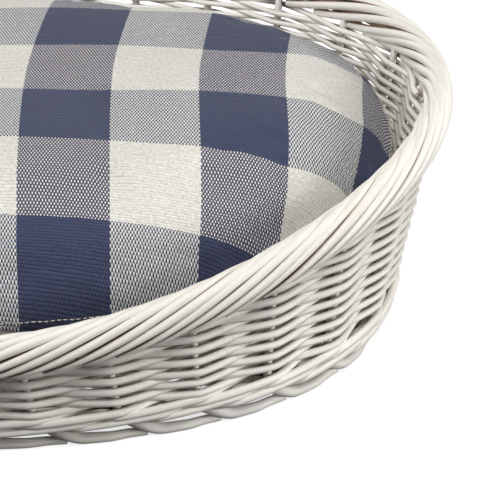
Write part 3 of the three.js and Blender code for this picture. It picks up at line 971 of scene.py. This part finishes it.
def half_of(body, top):
    """The part of the cover above or below its seam, cut clean along it."""
    mesh = body.copy()
    co = coordinates(mesh)
    co[:, 2] -= seam_height(np.arctan2(co[:, 1], co[:, 0]))
    set_coordinates(mesh, co)
    bm = bmesh.new()
    bm.from_mesh(mesh)
    cut(bm, (0, 0, 0), (0, 0, 1), clear_inner=top, clear_outer=not top)
    bm.to_mesh(mesh)
    bm.free()
    co = coordinates(mesh)
    co[:, 2] += seam_height(np.arctan2(co[:, 1], co[:, 0]))
    set_coordinates(mesh, co)
    return mesh


body = added("cushion_body", cushion_body())
applied(body, "REMESH", mode="VOXEL", voxel_size=VOXEL * MM)
applied(body, "SMOOTH", factor=0.5, iterations=3)
puff(body)
applied(body, "SUBSURF", levels=1, render_levels=1)
set_coordinates(body.data, soften(coordinates(body.data)))

top_mesh = half_of(body.data, True)
under_mesh = half_of(body.data, False)
bpy.data.objects.remove(body)

# The underside has a slot for the zip, cut square along its length.
zip_mid = (tape_low + tape_high) / 2
SLOT_END = 8
SLOT_HALF_LENGTH = (tape_high[0] - tape_low[0]) / 2 - SLOT_END
SLOT_HALF_WIDTH = 7.0
SLOT_DEEPEST = 30
bm = bmesh.new()
bm.from_mesh(under_mesh)
cut(bm, (SLOT_HALF_LENGTH, 0, 0), (1, 0, 0))
cut(bm, (-SLOT_HALF_LENGTH, 0, 0), (-1, 0, 0))
cut(bm, (0, zip_mid[1] - SLOT_HALF_WIDTH, 0), (0, 1, 0))
cut(bm, (0, zip_mid[1] + SLOT_HALF_WIDTH, 0), (0, 1, 0))
slot_faces = []
for face in bm.faces:
    x, y, z = face.calc_center_median() / MM
    in_slot = abs(x) < SLOT_HALF_LENGTH and abs(y - zip_mid[1]) < SLOT_HALF_WIDTH
    if in_slot and z < CUSHION_LOW + SLOT_DEEPEST:
        slot_faces.append(face)
bmesh.ops.delete(bm, geom=slot_faces, context="FACES")
bm.to_mesh(under_mesh)
bm.free()

for mesh, top in ((top_mesh, True), (under_mesh, False)):
    store(mesh, "fabric", "FLOAT_VECTOR", fabric_coordinates(coordinates(mesh), top))
    mesh.polygons.foreach_set("use_smooth", np.ones(len(mesh.polygons), bool))

top_cover = place("cushion_top_gingham", top_mesh, checked, "cushion", "checked_fabric",
                  ["cushion_top_cover", "cushion_pad"])
base_cover = place("cushion_base_canvas", under_mesh, canvas, "cushion", "cream_canvas",
                   ["cushion_base_cover"])


# ---------------------------------------------------------------- stitching and zip
STITCH_ABOVE_SEAM = 9.5
STITCH_LENGTH = 3.0
STITCH_STEP = 4.2
STITCH_RADIUS = 0.42
STITCH_REACH = 2.2
TAPE_STEPS = 80
TAPE_LANES = 9
TAPE_SPARE = 0.2
TAPE_CUP = 0.22
TOOTH_STEP = 3.0
TOOTH_RADIUS = 0.75
HEM_RADIUS = 0.9
HEM_POWER = 14.0


def thread(name, paths, radius, material, slot, sides=6):
    """One piece of cloth-covered rods, such as stitches."""
    piece = Piece()
    for path, facing in paths:
        piece.rod(path, radius, facing, sides=sides)
    built = piece.build(name, material, "cushion", slot, ())
    store(built.data, "fabric", "FLOAT_VECTOR", coordinates(built.data) * MM)


# The stitches follow the cover's own shape, at one height above the seam.
top_co = coordinates(top_mesh)
theta = np.arctan2(top_co[:, 1], top_co[:, 0])
near = np.abs(top_co[:, 2] - seam_height(theta) - STITCH_ABOVE_SEAM) < STITCH_REACH
order = np.argsort(theta[near])
line_theta = theta[near][order]
line_r = np.hypot(*top_co[near][order].T[:2])
bins = np.linspace(-math.pi, math.pi, 721)
which = np.digitize(line_theta, bins) - 1
line = np.array([line_r[which == k].max() if (which == k).any() else np.nan for k in range(720)])
good = ~np.isnan(line)
bin_mid = (bins[:-1] + bins[1:]) / 2
line = np.interp(bin_mid, bin_mid[good], line[good], period=2 * math.pi)
around = np.linspace(-math.pi, math.pi, 4001)
line_xy = np.interp(around, bin_mid, line, period=2 * math.pi)[:, None] * np.column_stack(
    [np.cos(around), np.sin(around)])
line_far = np.concatenate([[0], np.cumsum(np.hypot(*np.diff(line_xy, axis=0).T))])
stitches = []
for k in range(int(line_far[-1] / STITCH_STEP)):
    at = np.interp(k * STITCH_STEP + np.linspace(0, STITCH_LENGTH, 5), line_far, around)
    r = np.interp(at, bin_mid, line, period=2 * math.pi) + np.array([-0.5, 0.15, 0.3, 0.15, -0.5])
    path = np.column_stack([r * np.cos(at), r * np.sin(at), seam_height(at) + STITCH_ABOVE_SEAM])
    facing = np.column_stack([np.cos(at), np.sin(at), np.zeros(5)])
    stitches.append((path, facing))
thread("cushion_topstitch", stitches, STITCH_RADIUS, canvas, "cream_canvas")

# Zip: tape, two rows of teeth and a rolled hem round the slot.
bm = bmesh.new()
grid_x = np.linspace(tape_low[0], tape_high[0], TAPE_STEPS)
grid_y = np.linspace(tape_low[1], tape_high[1], TAPE_LANES)
layers = []
for level in (tape_low[2] + TAPE_SPARE, tape_high[2] - TAPE_SPARE):
    layer = []
    for x in grid_x:
        lane = []
        for y in grid_y:
            cup = TAPE_CUP * math.sin(x / 11) * abs(y - zip_mid[1]) / 13
            lane.append(bm.verts.new((x * MM, y * MM, (level + cup) * MM)))
        layer.append(lane)
    layers.append(layer)
low, high = layers
for i in range(TAPE_STEPS - 1):
    for k in range(TAPE_LANES - 1):
        bm.faces.new((low[i][k], low[i][k + 1], low[i + 1][k + 1], low[i + 1][k]))
        bm.faces.new((high[i][k], high[i + 1][k], high[i + 1][k + 1], high[i][k + 1]))
    for k in (0, TAPE_LANES - 1):
        bm.faces.new((low[i][k], low[i + 1][k], high[i + 1][k], high[i][k]))
for i in (0, TAPE_STEPS - 1):
    for k in range(TAPE_LANES - 1):
        bm.faces.new((low[i][k], low[i][k + 1], high[i][k + 1], high[i][k]))
bmesh.ops.recalc_face_normals(bm, faces=bm.faces)
tape_mesh = bpy.data.meshes.new("zip_tape_cloth")
bm.to_mesh(tape_mesh)
bm.free()
store(tape_mesh, "fabric", "FLOAT_VECTOR", coordinates(tape_mesh) * MM)
place("zip_tape_cloth", tape_mesh, tape_cloth, "cushion", "zip_fabric", ["zip_tape"])

teeth = []
for k in range(int(2 * SLOT_HALF_LENGTH / TOOTH_STEP)):
    x = -SLOT_HALF_LENGTH + (k + 0.5) * TOOTH_STEP
    side = 1 if k % 2 else -1
    path = np.array([[x, zip_mid[1] + side * s, tape_low[2] - 0.15] for s in (2.4, 1.4, 0.3, -0.8)])
    teeth.append((path, DOWN))
thread("zip_teeth", teeth, TOOTH_RADIUS, tape_cloth, "zip_fabric")

hem_t = np.linspace(0, 2 * math.pi, 241)
hem = oval((SLOT_HALF_LENGTH, SLOT_HALF_WIDTH, HEM_POWER), hem_t) + [0, zip_mid[1]]
hem = np.column_stack([hem, np.full(len(hem), CUSHION_LOW + HEM_RADIUS)])
keep = np.concatenate([[True], np.linalg.norm(np.diff(hem, axis=0), axis=1) > 0.4])
thread("zip_slot_hem", [(hem[keep], DOWN)], HEM_RADIUS, canvas, "cream_canvas", sides=8)

for name in ("zip_slider", "zip_pull"):
    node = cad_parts[name]
    node.data.materials.clear()
    node.data.materials.append(metal)

# ---------------------------------------------------------------- floor, light and camera
FLOOR_HALF = 6
FLOOR_GLOW = 0.72
DOME_RADIUS = 5.5
DOME_GLOW = 0.93
WORLD_ABOVE = 0.12
WORLD_BELOW = 0.06


def glowing(name, mesh, spots, dark, light, roughness, glow, unseen):
    """A pale stage piece that the lights don't have to reach, left out of some kinds of rays."""
    look = Look("pale_" + name)
    where = look.node("ShaderNodeTexCoord").outputs["Object"]
    tint = look.mix(look.noise(where, (spots,) * 3, 2.0), (dark,) * 3, (light,) * 3)
    mesh.materials.append(look.finish(tint, roughness, Emission_Color=(1, 1, 1, 1), Emission_Strength=glow))
    item = added(name, mesh)
    for rays in unseen:
        setattr(item, "visible_" + rays, False)
    return item


floor_mesh = bpy.data.meshes.new("floor")
corners = [(x * FLOOR_HALF, y * FLOOR_HALF, 0) for x, y in ((-1, -1), (1, -1), (1, 1), (-1, 1))]
floor_mesh.from_pydata(corners, [], [(0, 1, 2, 3)])
floor = glowing("floor", floor_mesh, 3, 0.50, 0.53, 0.9, FLOOR_GLOW, ("diffuse", "glossy"))

bm = bmesh.new()
bmesh.ops.create_uvsphere(bm, u_segments=48, v_segments=24, radius=DOME_RADIUS)
cut(bm, (0, 0, 0), (0, 0, 1), clear_inner=True)
bmesh.ops.reverse_faces(bm, faces=bm.faces)
dome_mesh = bpy.data.meshes.new("backdrop")
bm.to_mesh(dome_mesh)
bm.free()
dome = glowing("backdrop", dome_mesh, 1, 0.02, 0.03, 1.0, DOME_GLOW,
               ("diffuse", "glossy", "transmission", "shadow"))

world = bpy.data.worlds.new("studio")
bpy.context.scene.world = world
world.use_nodes = True
sky = world.node_tree
direction = sky.nodes.new("ShaderNodeTexCoord")
split = sky.nodes.new("ShaderNodeSeparateXYZ")
level = sky.nodes.new("ShaderNodeMapRange")
level.inputs["From Min"].default_value = -0.25
level.inputs["From Max"].default_value = 0.35
level.inputs["To Min"].default_value = WORLD_BELOW
level.inputs["To Max"].default_value = WORLD_ABOVE
sky.links.new(direction.outputs["Generated"], split.inputs[0])
sky.links.new(split.outputs[2], level.inputs["Value"])
sky.links.new(level.outputs[0], sky.nodes["Background"].inputs["Strength"])
sky.nodes["Background"].inputs["Color"].default_value = (1.0, 0.995, 0.985, 1)


def softbox(name, at, target, size, energy):
    """A soft rectangular light, in metres and watts."""
    light = bpy.data.lights.new(name, "AREA")
    light.shape = "RECTANGLE"
    light.size, light.size_y = size
    light.energy = energy
    aim(added(name, light), at, target)


def aim(item, at, target):
    """Puts a light or the camera in its place and turns it to a point."""
    item.location = at
    way = Vector(target) - Vector(at)
    item.rotation_euler = way.to_track_quat("-Z", "Y").to_euler()


middle_x = (cad_box[0][0] + cad_box[1][0]) / 2
half_x = cad_box[1][0] - middle_x
softbox("key_above", (middle_x + 0.1, -0.95, 1.9), (middle_x, 0, 0.1), (1.5, 1.2), 32)
softbox("side_right", (middle_x + 2.2, -0.6, 0.45), (middle_x + 0.2, 0, 0.08), (1.1, 0.9), 34)
softbox("side_left", (middle_x - 2.0, -0.4, 1.1), (middle_x, 0.1, 0.1), (1.3, 1.1), 22)
softbox("back_fill", (middle_x - 0.5, 2.2, 0.9), (middle_x, 0, 0.08), (1.3, 1.1), 14)

CAMERA_ELEVATION = math.radians(30.9)
CAMERA_YAW = math.radians(2.6)
CAMERA_DISTANCE = 1.665
CAMERA_LENS = 180
CAMERA_SENSOR = 36
# The point that it looks at, in shares of the CAD box's half sizes and height.
CAMERA_TARGET = (0.552, -0.308, 0.445)
back = np.array([-math.sin(CAMERA_YAW) * math.cos(CAMERA_ELEVATION),
                 -math.cos(CAMERA_YAW) * math.cos(CAMERA_ELEVATION),
                 math.sin(CAMERA_ELEVATION)])
target = np.array(CAMERA_TARGET) * (half_x, cad_box[1][1], cad_box[1][2])
camera_data = bpy.data.cameras.new("camera")
camera_data.lens = CAMERA_LENS
camera_data.sensor_width = CAMERA_SENSOR
camera = added("camera", camera_data)
aim(camera, tuple(target + back * CAMERA_DISTANCE), tuple(target))
bpy.context.scene.camera = camera
bpy.context.scene.view_settings.view_transform = "Standard"
bpy.context.scene.view_settings.look = "None"
